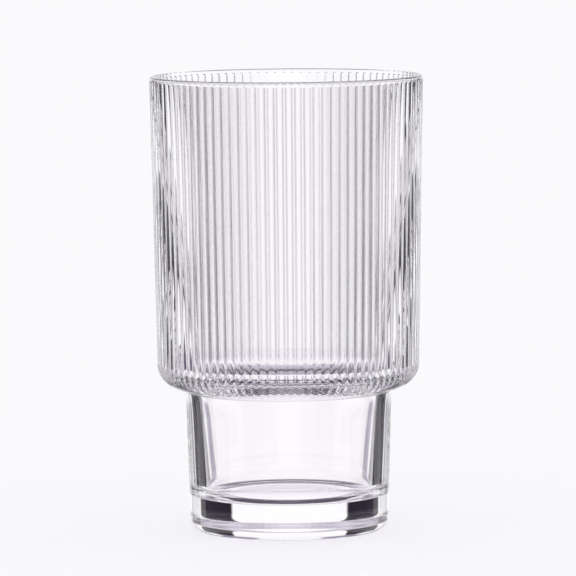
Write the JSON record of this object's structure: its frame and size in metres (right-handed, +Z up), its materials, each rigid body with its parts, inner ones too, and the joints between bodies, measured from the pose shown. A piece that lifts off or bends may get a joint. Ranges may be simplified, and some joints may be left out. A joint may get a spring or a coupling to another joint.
{
  "type": "highball glass",
  "caption": "Tall clear drinking glass with a vertically ribbed barrel, a rounded shoulder and a narrower plain foot with a thick solid base.",
  "frame": {"origin": "centre of the rest ring, on the surface that the glass stands on", "axes": "+Z up along the glass's axis, out of its mouth"},
  "size_m": [0.08, 0.08, 0.1336],
  "materials": {
    "clear_glass": "polished clear pressed glass"
  },
  "bodies": {
    "root": {"rim": "clear_glass", "ribbed_barrel": "clear_glass", "ribbed_shoulder": "clear_glass", "foot_wall": "clear_glass", "solid_base": "clear_glass"}
  },
  "joints": []
}
